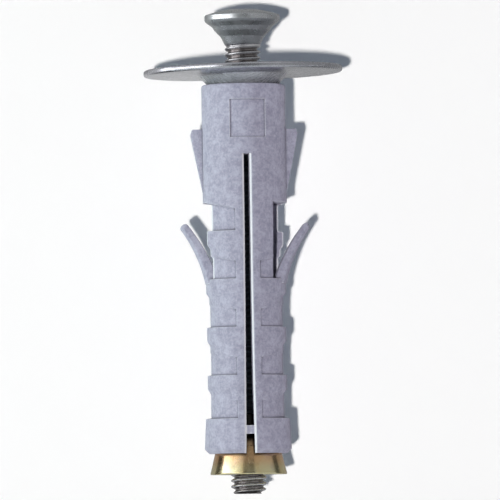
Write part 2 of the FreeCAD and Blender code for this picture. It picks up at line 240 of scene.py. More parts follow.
def rounded(corners, steps=5):
    """Open outline through (across, up, radius) corners, each rounded to its radius."""
    line = []
    last = len(corners) - 1
    for number, (across, up, radius) in enumerate(corners):
        corner = Vector((across, up))
        if radius == 0 or number in (0, last):
            line.append(corner)
            continue
        before = Vector(corners[number - 1][:2]) - corner
        after = Vector(corners[number + 1][:2]) - corner
        room = min(before.length, after.length) * 0.49  # neighbours never meet
        before.normalize()
        after.normalize()
        half_turn = (pi - before.angle(after)) / 2
        cut = min(radius * tan(half_turn), room)
        start = corner + before * cut
        end = corner + after * cut
        for step in range(steps + 1):
            t = step / steps
            line.append(start * (1 - t) ** 2 + corner * 2 * t * (1 - t) + end * t ** 2)
    return line


def lathe(name, corners, segments, closed=False, steps=5, sharp=35):
    """Solid turned about Z from (radius, height, rounding) corners."""
    turns = [2 * pi * i / segments for i in range(segments)]
    loops = []
    for radius, height in rounded(corners, steps):
        radius = max(radius, AXIS_RADIUS)
        loops.append([(radius * cos(a), radius * sin(a), height) for a in turns])
    return loops_object(name, loops, cap_first=not closed, cap_last=not closed, ring=closed,
                        sharp=sharp)


def prism(name, outline, half_width, bevel):
    """Plate with a bevelled outline in (X, Z), given its thickness along Y."""
    work = bmesh.new()
    sides = [[work.verts.new(Vector((across, side, up)) * MM) for across, up in outline]
             for side in (-half_width, half_width)]
    count = len(outline)
    for i in range(count):
        j = (i + 1) % count
        work.faces.new((sides[0][i], sides[0][j], sides[1][j], sides[1][i]))
    work.faces.new(sides[0])
    work.faces.new(sides[1])
    bmesh.ops.recalc_face_normals(work, faces=work.faces)
    bmesh.ops.bevel(work, geom=work.edges[:], offset=bevel * MM, segments=3, profile=0.5,
                    affect="EDGES", clamp_overlap=True)
    mesh = bpy.data.meshes.new(name)
    work.to_mesh(mesh)
    work.free()
    return new_object(name, mesh, 50)


def half_turned(obj, name):
    """Copy of a piece turned half a turn about the anchor's axis."""
    mesh = obj.data.copy()
    mesh.transform(Matrix.Rotation(pi, 4, "Z"))
    mesh.name = name
    return linked(name, mesh)


# ------------------------------ shader nodes
def feed(tree, socket, value):
    """Links an output to an input, or sets a number, a vector or a colour on it."""
    if isinstance(value, bpy.types.NodeSocket):
        tree.links.new(value, socket)
    elif socket.type == "RGBA":
        socket.default_value = (*value, 1)
    else:
        socket.default_value = value


def feed_all(tree, node, inputs):
    for name, value in inputs.items():
        feed(tree, node.inputs[name], value)


def new_node(tree, kind, inputs=None, **settings):
    """Shader node with its settings made and its inputs fed, by name or by number."""
    node = tree.nodes.new("ShaderNode" + kind)
    for name, value in settings.items():
        setattr(node, name, value)
    feed_all(tree, node, inputs or {})
    return node


def new_material(name):
    material = bpy.data.materials.new(name)
    material.use_nodes = True
    tree = material.node_tree
    place = new_node(tree, "TexCoord").outputs["Object"]
    return material, tree, tree.nodes["Principled BSDF"], place


def maths(tree, operation, *values):
    return new_node(tree, "Math", dict(enumerate(values)), operation=operation).outputs[0]


def product(tree, *factors):
    result = factors[0]
    for factor in factors[1:]:
        result = maths(tree, "MULTIPLY", result, factor)
    return result


def smooth_step(tree, value, start, end):
    """0 at the start value, 1 at the end value, which may be the lower one."""
    node = new_node(tree, "MapRange", {
        "Value": value, "From Min": min(start, end), "From Max": max(start, end),
        "To Min": float(start > end), "To Max": float(start < end),
    }, interpolation_type="SMOOTHSTEP")
    return node.outputs["Result"]


def mm_step(tree, length, start, end):
    """The same step for a length, between two places in millimetres."""
    return smooth_step(tree, length, start * MM, end * MM)


def along_axis(tree, place, axis):
    return new_node(tree, "SeparateXYZ", {0: place}).outputs[axis]


def off_plane(tree, place, axis):
    """Distance from the plane through the anchor's axis, on either side of it."""
    return maths(tree, "ABSOLUTE", along_axis(tree, place, axis))


def from_axis(tree, place, start, end):
    """0 to 1 between two distances in millimetres from the anchor's axis."""
    flat = new_node(tree, "VectorMath", {0: place, 1: (1, 1, 0)}, operation="MULTIPLY")
    length = new_node(tree, "VectorMath", {0: flat.outputs[0]}, operation="LENGTH")
    return mm_step(tree, length.outputs["Value"], start, end)


def band(tree, place, low, high, soft):
    """1 between two heights in millimetres, fading out over the soft width."""
    height = along_axis(tree, place, "Z")
    rise = mm_step(tree, height, low - soft, low + soft)
    fall = mm_step(tree, height, high + soft, high - soft)
    return product(tree, rise, fall)


def noise(tree, place, scale, detail=4.0, roughness=0.5, stretch=None):
    if stretch:
        place = new_node(tree, "Mapping", {"Vector": place, "Scale": stretch}).outputs["Vector"]
    node = new_node(tree, "TexNoise", {"Vector": place, "Scale": scale, "Detail": detail,
                                       "Roughness": roughness})
    return node.outputs["Fac"]


NOISE_LOW, NOISE_HIGH = 0.3, 0.7


def spread(tree, value, low, high):
    """Noise's usual range, widened to run from low to high."""
    node = new_node(tree, "MapRange", {"Value": value, "From Min": NOISE_LOW,
                                       "From Max": NOISE_HIGH, "To Min": low, "To Max": high})
    return node.outputs["Result"]


def ramp(tree, value, stops):
    """Colour that runs through (place, colour) stops."""
    node = new_node(tree, "ValToRGB", {"Fac": value})
    elements = node.color_ramp.elements
    while len(elements) < len(stops):
        elements.new(0.5)
    for element, (place, colour) in zip(elements, stops):
        element.position = place
        element.color = (*colour, 1)
    return node.outputs["Color"]


def blended(tree, share, first, second):
    """Colour going from the first (share 0) to the second (share 1)."""
    mix = new_node(tree, "Mix", {"Factor": share, "A": first, "B": second}, data_type="RGBA")
    return mix.outputs["Result"]


def bump(tree, shader, height, strength, distance_mm, under=None):
    inputs = {"Height": height, "Strength": strength, "Distance": distance_mm * MM}
    if under:
        inputs["Normal"] = under
    normal = new_node(tree, "Bump", inputs).outputs["Normal"]
    feed(tree, shader.inputs["Normal"], normal)
    return normal


OCCLUSION_SAMPLES = 8


def near_faces(tree, reach_mm, inside, low, high):
    """0 where a face has other faces close to it, 1 where it lies open."""
    node = new_node(tree, "AmbientOcclusion", {"Distance": reach_mm * MM},
                    samples=OCCLUSION_SAMPLES, inside=inside, only_local=inside)
    return smooth_step(tree, node.outputs["AO"], low, high)


# --------------------------------- materials
NYLON_DARK = (0.255, 0.250, 0.318)
NYLON_PALE = (0.385, 0.378, 0.460)
# Painted shade for crevices.
NYLON_CREVICE_SHADE = (0.15, 0.145, 0.18)
# Painted light for the floor of a side recess, which lies in the key's shadow.
NYLON_RECESS_LIGHT = (0.90, 0.84, 0.95)
# Painted highlight for convex edges.
NYLON_EDGE_HIGHLIGHT = (0.62, 0.62, 0.66)
# Painted highlight for the slot's lips.
NYLON_SLOT_HIGHLIGHT = (0.60, 0.60, 0.63)
SEAM_HALF = 0.3
RECESS_TOP = 24.5


def slot_lip(tree, place):
    """1 on the rounded outer edges of the slot, where a highlight is painted."""
    share = new_node(tree, "MapRange", {
        "Value": along_axis(tree, place, "Z"),
        "From Min": -SLOT_START * MM, "From Max": -SLEEVE_END * MM,
    }).outputs["Result"]
    flare = maths(tree, "POWER", share, SLOT_FLARE_POWER)
    half = maths(tree, "MULTIPLY_ADD", flare, SLOT_FLARE * MM, SLOT_HALF * MM)
    gap = maths(tree, "SUBTRACT", off_plane(tree, place, "X"), half)
    near = mm_step(tree, gap, 0.42, 0.18)
    beside = mm_step(tree, gap, -0.14, -0.06)
    outside = mm_step(tree, off_plane(tree, place, "Y"), COLLAR_R - 0.9, COLLAR_R - 0.6)
    slotted = band(tree, place, -SLEEVE_END, -SLOT_START, soft=0.1)
    return product(tree, near, beside, outside, slotted)


def recess_light_mask(tree, place):
    """1 on the narrow floor of a side recess, where light is painted into the key's shadow."""
    across = off_plane(tree, place, "X")
    out = off_plane(tree, place, "Y")
    beside = mm_step(tree, across, 5.15, 4.75)
    beyond = mm_step(tree, across, RECESS_FLAT - 0.1, RECESS_FLAT)
    level = mm_step(tree, out, RECESS_NEAR - 0.15, RECESS_NEAR - 0.05)
    shallow = mm_step(tree, out, RECESS_NEAR + 0.1, RECESS_NEAR + 0.05)
    high = band(tree, place, -RECESS_TOP, -COLLAR_END, soft=2.5)
    strip = product(tree, beside, beyond)
    ledge = product(tree, level, shallow)
    return product(tree, strip, ledge, high)


def nylon():
    """Mottled grey nylon, with painted shade in crevices, painted light on the floors of the side
    recesses, and painted highlights on edges and round the slot.
    """
    material, tree, shader, place = new_material("grey_nylon")
    patches = noise(tree, place, scale=700, detail=5, roughness=0.65)
    grains = noise(tree, place, scale=2400, detail=3, roughness=0.7)
    mottle = maths(tree, "MULTIPLY", maths(tree, "ADD", patches, grains), 0.5)
    mottled = ramp(tree, mottle, [(0.40, NYLON_DARK), (0.60, NYLON_PALE)])
    # Painted shade: darker where other faces lie close, in crevices and corners.
    open_face = near_faces(tree, reach_mm=0.55, inside=False, low=0.45, high=0.95)
    crevice_shaded = blended(tree, open_face, NYLON_CREVICE_SHADE, mottled)
    # Painted light on the floors of the side recesses.
    lit = blended(tree, recess_light_mask(tree, place), crevice_shaded, NYLON_RECESS_LIGHT)
    seam = band(tree, place, -SLOT_START - SEAM_HALF, -SLOT_START + SEAM_HALF, soft=0.1)
    # Painted highlight on convex edges, kept off the seam where the collar meets the halves.
    broad_face = near_faces(tree, reach_mm=0.32, inside=True, low=0.35, high=0.80)
    edge_highlighted = blended(tree, maths(tree, "MAXIMUM", broad_face, seam), NYLON_EDGE_HIGHLIGHT, lit)
    # Painted highlight round the slot's lips.
    slot_highlighted = blended(tree, slot_lip(tree, place), edge_highlighted, NYLON_SLOT_HIGHLIGHT)
    gloss = spread(tree, noise(tree, place, scale=1500, detail=3), 0.50, 0.62)
    broad = bump(tree, shader, noise(tree, place, scale=1100, detail=3),
                 strength=0.25, distance_mm=0.05)
    bump(tree, shader, noise(tree, place, scale=5200, detail=2, roughness=0.6),
         strength=0.3, distance_mm=0.012, under=broad)
    feed_all(tree, shader, {
        "Base Color": slot_highlighted,
        "Roughness": gloss,
        "Diffuse Roughness": 0.55,
        "IOR": 1.5,
        "Subsurface Weight": 0.12,
        "Subsurface Radius": (0.9, 1.0, 1.1),
        "Subsurface Scale": 0.6 * MM,
    })
    return material


def zinc(name, dark, light, rough, metallic=1.0, stretch=None, change=None):
    """Bright zinc plate; change(tree, place, look) gives the sockets where a piece differs."""
    material, tree, shader, place = new_material(name)
    stains = noise(tree, place, scale=350, detail=5, roughness=0.6)
    smears = noise(tree, place, scale=900, detail=4, roughness=0.6, stretch=stretch)
    look = {
        "Base Color": ramp(tree, stains, [(0.32, dark), (0.68, light)]),
        "Roughness": spread(tree, smears, rough - 0.05, rough + 0.07),
        "Metallic": metallic,
    }
    if change:
        look.update(change(tree, place, look))
    feed_all(tree, shader, look)
    bump(tree, shader, noise(tree, place, scale=2600, detail=3, roughness=0.6, stretch=stretch),
         strength=0.12, distance_mm=0.01)
    return material


# Painted shade: in the thread's roots, and on the thread inside the sleeve.
THREAD_ROOT_SHADE = (0.33, 0.31, 0.31)
THREAD_SLEEVE_SHADE = (0.11, 0.13, 0.16)


def thread_change(tree, place, look):
    """Painted shade in the roots of the thread, and painted shade inside the sleeve, where the
    thread is also duller.
    """
    # Painted shade in the roots.
    crest = from_axis(tree, place, SCREW_R - 0.5, SCREW_R - 0.1)
    open_thread = blended(tree, crest, THREAD_ROOT_SHADE, look["Base Color"])
    # Painted shade inside the sleeve, with higher roughness there.
    inside = band(tree, place, -SLEEVE_END + 1.0, -2.0, soft=1.5)
    return {"Base Color": blended(tree, inside, open_thread, THREAD_SLEEVE_SHADE),
            "Roughness": maths(tree, "MULTIPLY_ADD", inside, 0.5, look["Roughness"])}


def washer_change(tree, place, look):
    """Full metal on the plate; darker and less metallic in the dimple."""
    plate = from_axis(tree, place, DIMPLE_R + 1.3, DIMPLE_R + 1.8)
    darker = blended(tree, 0.28, look["Base Color"], (0, 0, 0))
    return {"Base Color": blended(tree, plate, darker, look["Base Color"]),
            "Metallic": maths(tree, "MULTIPLY_ADD", plate, 0.55, 0.45)}


CHROMATE_UPPER = [
    (0.30, (0.60, 0.33, 0.18)),
    (0.42, (0.76, 0.48, 0.25)),
    (0.55, (0.80, 0.56, 0.32)),
    (0.70, (0.66, 0.42, 0.32)),
]
CHROMATE_LOWER = [
    (0.30, (0.70, 0.50, 0.26)),
    (0.42, (0.78, 0.66, 0.36)),
    (0.55, (0.80, 0.74, 0.46)),
    (0.70, (0.66, 0.62, 0.44)),
]
# Painted shade for the nut inside the sleeve.
CHROMATE_SLEEVE_SHADE = (0.015, 0.014, 0.013)


def yellow_zinc():
    """Yellow chromate: warmer above, paler near the base, with painted shade inside the sleeve.
    """
    material, tree, shader, place = new_material("yellow_chromate")
    bloom = noise(tree, place, scale=260, detail=4, roughness=0.55, stretch=(1, 1, 0.6))
    up = along_axis(tree, place, "Z")
    height = maths(tree, "MULTIPLY_ADD", bloom, 1.6 * MM, up)
    drop = mm_step(tree, height, -NUT_BASE + 3.6, -NUT_BASE + 1.4)
    plate = blended(tree, drop, ramp(tree, bloom, CHROMATE_UPPER),
                    ramp(tree, bloom, CHROMATE_LOWER))
    # Painted shade inside the sleeve.
    inside = mm_step(tree, up, -SLEEVE_END, TIE_RISE - SLEEVE_END)
    gloss = spread(tree, noise(tree, place, scale=700, detail=4), 0.16, 0.28)
    feed_all(tree, shader, {
        "Base Color": blended(tree, inside, plate, CHROMATE_SLEEVE_SHADE),
        "Roughness": gloss,
        "Metallic": 1.0,
    })
    bump(tree, shader, noise(tree, place, scale=2200, detail=3, roughness=0.6,
                             stretch=(1, 1, 3)), strength=0.12, distance_mm=0.01)
    return material


NYLON = nylon(), "nylon"
SCREW_ZINC = zinc("screw_zinc", (0.42, 0.44, 0.46), (0.56, 0.58, 0.60), 0.28,
                  metallic=0.88), "bright_zinc"
THREAD_ZINC = zinc("thread_zinc", (0.52, 0.52, 0.55), (0.72, 0.72, 0.74), 0.24,
                   change=thread_change), "bright_zinc"
WASHER_ZINC = zinc("washer_zinc", (0.40, 0.41, 0.45), (0.52, 0.53, 0.57), 0.26,
                   stretch=(1, 4, 1), change=washer_change), "washer_zinc"
YELLOW = yellow_zinc(), "yellow_zinc"


def finish_piece(piece, look, body, *nodes):
    """Dresses a piece, rides it on its body and lets it stand for the CAD nodes."""
    material, slot = look
    piece.data.materials.clear()
    piece.data.materials.append(material)
    if body:
        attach(piece, body)
    if nodes:
        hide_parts(*nodes)


# ----------------------------- sleeve halves
def slot_half(depth):
    share = (depth - SLOT_START) / (SLEEVE_END - SLOT_START)
    return SLOT_HALF + SLOT_FLARE * max(share, 0.0) ** SLOT_FLARE_POWER


STRIP_LINE = [(SLOT_START, COLLAR_R), (shoulder(0), TOOTH_RADII[0])]
STRIP_LINE += [(shoulder(n), TOOTH_RADII[n]) for n in range(1, SHOULDERS)]
STRIP_LINE += [(SLEEVE_END - END_CHAMFER, END_RADIUS), (SLEEVE_END, END_RADIUS - END_CHAMFER)]
FLOOR_LINE = [(COLLAR_END, FIRST_FLOOR)]
FLOOR_LINE += [(shoulder(n), TOOTH_RADII[n] - FLOOR_DEPTH) for n in range(1, SHOULDERS)]


def band_radius(depth, across):
    """Radius on a tooth band: a land below each shoulder, then a drop towards the next."""
    number = -1
    for n in range(SHOULDERS):
        if depth >= shoulder(n):
            number = n
    if number < 0 or number == SHOULDERS - 1:
        return along(STRIP_LINE, depth)
    below = depth - shoulder(number)
    fall = ease(TOOTH_LAND, TOOTH_LAND + TOOTH_TAPER, below)
    fall *= ease(STRIP_HALF, TAPER_FULL, across)
    base = along(STRIP_LINE, depth)
    tooth = TOOTH_RADII[number]
    return base + (tooth - base) * ease(STRIP_HALF, TOOTH_FULL, across) - TOOTH_DROP * fall


def pocket_share(depth, across, front):
    """1 on the floor of a pocket above a shoulder, 0 outside it."""
    side_start, side_end = (STRIP_HALF + slope for slope in POCKET_SIDE_SLOPE)
    for n in range(0 if front else 1, SHOULDERS):
        bottom = shoulder(n)
        top = bottom - POCKET_HEIGHT if n else COLLAR_END
        reach = TOOTH_RADII[n] - STRIP_HALF
        top += POCKET_SLANT * (1 - min((across - STRIP_HALF) / reach, 1.0))
        ledge_start, ledge_end = (bottom + slope for slope in POCKET_LEDGE_SLOPE)
        if top < depth < ledge_end:
            share = ease(top, top + POCKET_TOP_SLOPE, depth)
            share *= ease(side_start, side_end, across)
            return share * (1 - ease(ledge_start, ledge_end, depth))
    return 0.0


def outer_radius(depth, across, front):
    plain = band_radius(depth, across)
    if depth < COLLAR_END:
        return plain
    floor = along(FLOOR_LINE, depth)
    return plain - max(plain - floor, 0.0) * pocket_share(depth, across, front)


REFINEMENTS = 3


def radius_towards(depth, angle):
    """Outer radius in a direction; the place across the face depends on it, so it is refined."""
    radius = along(STRIP_LINE, depth)
    front = angle < 0
    for _ in range(REFINEMENTS):
        radius = outer_radius(depth, radius * cos(angle), front)
    return radius


def inner_reach(depth):
    """Bore radius, and the cone seat's radius about its own shifted axis."""
    top = NUT_BASE - NUT_HEIGHT
    seat = NUT_TOP_R + (depth - top) * NUT_SLOPE + SEAT_CLEARANCE + SEAT_OFFSET
    return BORE_R, (seat if depth > SEAT_TOP else 0.0)


def inner_radius(depth, angle):
    bore, seat = inner_reach(depth)
    if seat == 0.0:
        return bore
    side = SEAT_OFFSET * sin(angle)
    return max(bore, sqrt(seat ** 2 - side ** 2) - SEAT_OFFSET * cos(angle))


def inner_edge(depth, half):
    bore, seat = inner_reach(depth)
    edge = sqrt(bore ** 2 - half ** 2)
    if seat == 0.0:
        return edge
    return max(edge, sqrt(seat ** 2 - (half + SEAT_OFFSET) ** 2))


def spaced(start, end, count):
    return [start + (end - start) * i / count for i in range(count)]


# Points in each stretch of a section's outline.
FACE_POINTS = 42
SIDE_POINTS = 32
REAR_POINTS = 60
CORNER_POINTS = 8
WALL_POINTS = 4
BORE_POINTS = 28
EDGE_STEPS = 3
STEEP = radians(60)
CORNER_REACH = 0.05
WALL_REACH = 0.08


def slot_edge(edge_x, edge_y, steps, side):
    """Points round the slot's outer edge: side is 1 at the rear and -1 at the front."""
    points = []
    for step in steps:
        bend = radians(90 * step / EDGE_STEPS)
        points.append((-edge_x + SLOT_EDGE * sin(bend),
                       side * (edge_y - SLOT_EDGE + SLOT_EDGE * cos(bend))))
    return points


def half_section(depth, recessed):
    """Closed outline of the left half at one depth, starting at the front slot edge."""
    half = slot_half(depth)
    strip = along(STRIP_LINE, depth)
    edge_x = half + SLOT_EDGE
    edge_y = sqrt(strip ** 2 - edge_x ** 2)
    edge_angle = atan2(edge_y, edge_x)
    wall_angle = asin(RECESS_NEAR / COLLAR_R)
    corner_radius = outer_radius(depth, RECESS_FLAT, False)
    corner_y = sqrt(corner_radius ** 2 - RECESS_FLAT ** 2)
    corner_angle = atan2(corner_y, RECESS_FLAT)
    face_angle = max(STEEP, corner_angle + CORNER_REACH)
    points = []

    def arc(start, end, count):
        for angle in spaced(start, end, count):
            radius = radius_towards(depth, angle)
            points.append((-radius * cos(angle), radius * sin(angle)))

    arc(-edge_angle, -STEEP, FACE_POINTS)
    arc(-STEEP, -wall_angle, SIDE_POINTS)
    if recessed:
        outer_x = sqrt(radius_towards(depth, -wall_angle) ** 2 - RECESS_NEAR ** 2)
        points += [(-x, -RECESS_NEAR) for x in spaced(outer_x, RECESS_FLAT, CORNER_POINTS)]
        points += [(-RECESS_FLAT, y) for y in spaced(-RECESS_NEAR, corner_y, REAR_POINTS)]
    else:
        arc(-wall_angle, -wall_angle + WALL_REACH, CORNER_POINTS)
        arc(-wall_angle + WALL_REACH, corner_angle, REAR_POINTS)
    arc(corner_angle, face_angle, CORNER_POINTS)
    arc(face_angle, edge_angle, FACE_POINTS)

    points += slot_edge(edge_x, edge_y, range(EDGE_STEPS + 1), 1)
    inner_y = inner_edge(depth, half)
    wall = spaced(edge_y - SLOT_EDGE, inner_y, WALL_POINTS)[1:]
    points += [(-half, y) for y in wall + [inner_y]]
    inner_angle = atan2(inner_y, half)
    for angle in spaced(inner_angle, -inner_angle, BORE_POINTS)[1:]:
        radius = inner_radius(depth, angle)
        points.append((-radius * cos(angle), radius * sin(angle)))
    wall = spaced(-inner_y, -(edge_y - SLOT_EDGE), WALL_POINTS)
    points += [(-half, y) for y in wall]
    points += slot_edge(edge_x, edge_y, range(EDGE_STEPS, 0, -1), -1)
    return [(x, y, -depth) for x, y in points]


SECTION_STEP = 0.17
LEDGE_CLEAR = 0.14
LEDGE_STEPS = (-0.12, -0.02, 0.02, 0.06, 0.12)
CHAMFER_STEPS = (-0.1, 0.1)


def half_depths():
    """Depths of the sections: evenly spaced, with extra ones at every ledge."""
    count = int((SLEEVE_END - SLOT_START) / SECTION_STEP)
    depths = {round(SLOT_START + (SLEEVE_END - SLOT_START) * i / count, 4)
              for i in range(count + 1)}
    ledges = [shoulder(n) for n in range(SHOULDERS)] + [COLLAR_END]
    for ledge in ledges:
        depths = {d for d in depths if abs(d - ledge) > LEDGE_CLEAR}
        depths |= {round(ledge + nudge, 4) for nudge in LEDGE_STEPS}
    depths |= {SLEEVE_END - END_CHAMFER + nudge for nudge in CHAMFER_STEPS}
    return sorted(depths)


def sleeve_half():
    foot = shoulder(1)
    loops = [half_section(depth, COLLAR_END < depth < foot) for depth in half_depths()]
    return loops_object("sleeve_half_left", loops, cap_last=True, sharp=50)


# -------------------------- collar of sleeve
MOUTH_EDGE = 0.12
MOUTH_FOOT_EDGE = 0.3
GRID_TOP = 1.2
GRID_ROWS = 66
GRID_TURNS = 320
STEP_CLEAR = 0.6
STEP_SPLIT = 5


def collar_ring():
    """Collar with a plain sunken panel on its front; its grid follows the panel's edges."""
    edges = rounded([
        (BORE_R, -SLOT_START, 0),
        (BORE_R, -(MOUTH_R - BORE_R), MOUTH_FOOT_EDGE),
        (MOUTH_R, 0.0, MOUTH_EDGE),
        (COLLAR_R, 0.0, COLLAR_EDGE),
        (COLLAR_R, -GRID_TOP, 0),
    ], 6)
    line = [(p.x, p.y) for p in edges]
    rows = with_steps(spaced(GRID_TOP, SLOT_START, GRID_ROWS),
                      (PANEL_TOP, PANEL_TOP + PANEL_HEIGHT))
    line += [(COLLAR_R, -depth) for depth in rows[1:] + [SLOT_START]]
    side = asin(PANEL_HALF_WIDTH / COLLAR_R)
    aside = asin(PANEL_ASIDE / COLLAR_R)
    turns = with_steps(spaced(-pi, pi, GRID_TURNS), (aside - side, aside + side))
    loops = []
    for radius, height in line:
        loop = []
        for turn in turns:
            sunk = radius
            if radius == COLLAR_R and in_panel(turn - aside, side, -height):
                sunk = radius - PANEL_DEPTH
            loop.append((sunk * sin(turn), -sunk * cos(turn), height))
        loops.append(loop)
    return loops_object("sleeve_collar_ring", loops, ring=True, sharp=45)


def with_steps(values, steps):
    """Evenly spaced values, with a close pair in place of the ones next to each step."""
    gap = (values[1] - values[0]) * STEP_CLEAR
    kept = [v for v in values if all(abs(v - step) > gap for step in steps)]
    nudges = (-gap / STEP_SPLIT, gap / STEP_SPLIT)
    pairs = [step + nudge for step in steps for nudge in nudges]
    return sorted(kept + pairs)


def in_panel(turn, side, depth):
    return abs(turn) < side and PANEL_TOP < depth < PANEL_TOP + PANEL_HEIGHT


def fin():
    inside = COLLAR_R - FIN_ROOT
    low = -(FIN_TOP + FIN_LENGTH)
    outline = [(-inside, low - FIN_CORNER), (-COLLAR_R + FIN_SINK, low),
               (-FIN_REACH, -FIN_TOP - FIN_CORNER_DROP),
               (-FIN_REACH + FIN_CORNER, -FIN_TOP), (-inside, -FIN_TOP)]
    return prism("fin_left", outline, FIN_THICKNESS / 2, FIN_BEVEL)


def tie_web(name, side):
    """Left leg's half of the tie, at the front (side -1) or the rear (side 1)."""
    reach = SLOT_HALF + SLOT_FLARE + TIE_ROOT
    low = TIE_RISE - SLEEVE_END
    outline = [(-reach, low), (0.0, low), (0.0, low + TIE_HEIGHT), (-reach, low + TIE_HEIGHT)]
    web = prism(name, outline, TIE_SKIN / 2 - TIE_TRIM, TIE_BEVEL)
    out = side * (COLLAR_R - TIE_SKIN / 2 - TIE_SINK) * MM
    web.data.transform(Matrix.Translation((0, out, 0)))
    return web


# ------------------------------------- barbs
BARB_NEAR = barb_box[LOW][Y]
BARB_FAR = barb_box[HIGH][Y]
BARB_ROOT_X = 6.95
BARB_TIP_X = -barb_box[LOW][X]
BARB_TIP_RISE = 8.7
BARB_BEND = 25.0
BARB_ROOT_THICK = 2.1
BARB_THINNING = 1.1
BARB_TIP_THICK = 1.25
BARB_ROWS = 44
BARB_ROOT_ROWS = 4
BARB_CAP = 0.5
BARB_CORNER = 0.28
CORNER_STEPS = 5
LONG_SIDE_PARTS = 10
SHORT_SIDE_PARTS = 3


def rounded_box(half_width, half_height, corner):
    """Rectangle with rounded corners, as (across, up) points that also divide its sides."""
    loop = []
    for side, level, start in ((1, 1, 0), (-1, 1, 90), (-1, -1, 180), (1, -1, 270)):
        for step in range(CORNER_STEPS + 1):
            bend = radians(start + 90 * step / CORNER_STEPS)
            loop.append((side * (half_width - corner) + corner * cos(bend),
                         level * (half_height - corner) + corner * sin(bend)))
    divided = []
    for number, (ax, ay) in enumerate(loop):
        bx, by = loop[(number + 1) % len(loop)]
        corner_number, step = divmod(number, CORNER_STEPS + 1)
        parts = 1
        if step == CORNER_STEPS:
            parts = SHORT_SIDE_PARTS if corner_number % 2 else LONG_SIDE_PARTS
        for part in range(parts):
            t = part / parts
            divided.append((ax + (bx - ax) * t, ay + (by - ay) * t))
    return divided


def barb():
    """Tongue that curves out of the leg: a rounded strip swept up a bent back line."""
    foot = -shoulder(1)
    root = Vector((BARB_ROOT_X, foot))
    tip = Vector((BARB_TIP_X, foot + BARB_TIP_RISE))
    chord = tip - root
    sag = BARB_BEND - sqrt(BARB_BEND ** 2 - (chord.length / 2) ** 2)
    normal = Vector((chord.y, -chord.x)).normalized()
    middle = (root + tip) / 2 - normal * sag * 2
    half_width = (BARB_FAR - BARB_NEAR) / 2
    centre_y = (BARB_FAR + BARB_NEAR) / 2
    flare = BARB_TIP_THICK + BARB_THINNING - BARB_ROOT_THICK
    loops = []
    for row in range(-BARB_ROOT_ROWS, BARB_ROWS + 1):
        t = row / BARB_ROWS
        back = root * (1 - t) ** 2 + middle * 2 * t * (1 - t) + tip * t ** 2
        slope = ((middle - root) * (1 - t) + (tip - middle) * t).normalized()
        inward = Vector((-slope.y, slope.x))
        thick = BARB_ROOT_THICK - BARB_THINNING * max(t, 0) + flare * t * t
        left = (1 - t) * chord.length
        shrink = 0.0
        if left < BARB_CAP:
            shrink = BARB_CAP - sqrt(max(BARB_CAP ** 2 - (BARB_CAP - left) ** 2, 0.0))
        half_thick = max(thick / 2 - shrink, 0.05)
        half_wide = max(half_width - shrink * 0.6, 0.1)
        corner = min(BARB_CORNER, half_thick * 0.8)
        ring = []
        for across, deep in rounded_box(half_wide, half_thick, corner):
            y = centre_y + across
            place = back + inward * (thick / 2 + deep)
            hollow = back.x - sqrt(max(back.x ** 2 - y ** 2, 0.0))
            share = 0.5 - deep / (2 * half_thick)
            ring.append((-(place.x - hollow * share), y, place.y))
        loops.append(ring)
    return loops_object("barb_blade_left", loops, cap_first=True, cap_last=True, sharp=60)


# ------------------------------ metal pieces
NUT_BORE_R = 3.08
NUT_MOUTH_R = 3.5
NUT_MOUTH_DEPTH = 0.5
NUT_CROWN_R = 3.3
NUT_CROWN_DEPTH = 0.4
NUT_LAND = 0.25
RIB_EDGE = 0.1
RIB_ROOT = 0.3
RIB_STEPS = 4


def nut_cone():
    top = NUT_HEIGHT - NUT_BASE
    return lathe("nut_cone", [
        (NUT_BORE_R, -NUT_BASE + NUT_MOUTH_DEPTH, 0),
        (NUT_MOUTH_R, -NUT_BASE, 0.08),
        (NUT_BASE_R, -NUT_BASE, 0.22),
        (NUT_BASE_R, -NUT_BASE + NUT_LAND, 0.2),
        (NUT_TOP_R, top, 0.2),
        (NUT_CROWN_R, top, 0.08),
        (NUT_BORE_R, top - NUT_CROWN_DEPTH, 0),
    ], 144, closed=True, sharp=40)


def nut_rib(name, side):
    """Rib that runs in the slot, at the front (side -1) or the rear (side 1)."""
    foot = -NUT_BASE + (NUT_BASE_R - RIB_R) / NUT_SLOPE
    top = -NUT_BASE + RIB_RISE
    across = [RIB_HALF * step / RIB_STEPS for step in range(-RIB_STEPS, RIB_STEPS + 1)]
    loops = []
    for up, trim in ((foot, RIB_EDGE), (foot + RIB_EDGE, 0.0), (top - RIB_EDGE, 0.0),
                     (top, RIB_EDGE)):
        outer = [(x, side * (sqrt(RIB_R ** 2 - x ** 2) - trim), up) for x in across]
        inner = [(x, side * (NUT_TOP_R - RIB_ROOT), up) for x in reversed(across)]
        loops.append(outer + inner)
    return loops_object(name, loops, cap_first=True, cap_last=True, sharp=30)


WASHER_R = washer_box[HIGH][X]
WASHER_RISE = 0.3
WASHER_LOW = 1.5 + WASHER_RISE
WASHER_ASKEW = 1.0
WASHER_TOP = washer_box[HIGH][Z] + WASHER_RISE
DIMPLE_LOW = washer_box[LOW][Z]
WASHER_HOLE = 3.3
WASHER_WALL = 1.41
WASHER_EDGE = 0.42


